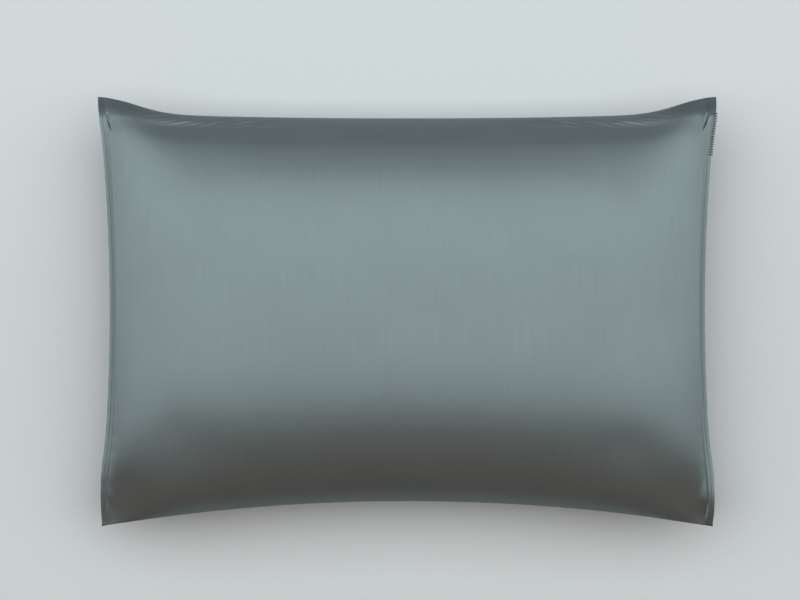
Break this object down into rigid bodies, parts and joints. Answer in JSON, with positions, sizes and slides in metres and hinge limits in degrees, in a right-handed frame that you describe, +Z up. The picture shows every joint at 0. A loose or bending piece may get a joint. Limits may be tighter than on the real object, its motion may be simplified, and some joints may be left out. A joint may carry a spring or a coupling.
{
  "type": "bed pillow",
  "caption": "Filled bed pillow in a satin case with pointed corners and flat side bands, closed by a concealed coil zip along one short side, over a corded fibre insert.",
  "frame": {"origin": "middle of the pillow's outline, on the surface it lies on", "axes": "+X along the long side towards the zip, +Y along the short side, +Z up through the front panel"},
  "size_m": [0.724, 0.503, 0.152],
  "materials": {
    "case_satin": "satin",
    "sewing_thread": "satin",
    "zip_tape": "matt",
    "zip_coil": "satin",
    "zip_metal": "satin",
    "label_cloth": "satin",
    "ticking": "matt",
    "piping_cord": "matt",
    "polyester_fibre": "matt"
  },
  "bodies": {
    "pillow": {"case_front": "case_satin", "case_back": "case_satin", "top_seam_thread": "sewing_thread", "bottom_seam_thread": "sewing_thread", "left_topstitch": "sewing_thread", "placket_topstitch": "sewing_thread", "zip_tape_front": "zip_tape", "zip_tape_back": "zip_tape", "zip_coil_front": "zip_coil", "zip_coil_back": "zip_coil", "tape_stitching": "sewing_thread", "zip_bottom_stop": "zip_coil", "zip_top_stops": "zip_coil", "zip_end_tacks": "sewing_thread", "care_label": "label_cloth", "insert_cover_front": "ticking", "insert_cover_back": "ticking", "insert_piping": "piping_cord", "insert_closing_stitch": "sewing_thread", "fibre_fill": "polyester_fibre", "insert_label": "label_cloth"},
    "slider": {"zip_slider": "zip_metal"},
    "pull_tab": {"zip_pull_tab": "zip_metal"}
  },
  "joints": [
    {"name": "zip_slide", "type": "hinge", "parent": "pillow", "child": "slider", "pos_m": [2.61401, 0, 0.078], "axis": [0, 0, -1], "range_deg": [0, 10.35], "deforming": ["zip_tape_front", "zip_tape_back", "zip_coil_front", "zip_coil_back"]},
    {"name": "pull_tab_swing", "type": "hinge", "parent": "slider", "child": "pull_tab", "pos_m": [0.35504, -0.20457, 0.078], "axis": [0, 0, -1], "range_deg": [0, 170]}
  ]
}
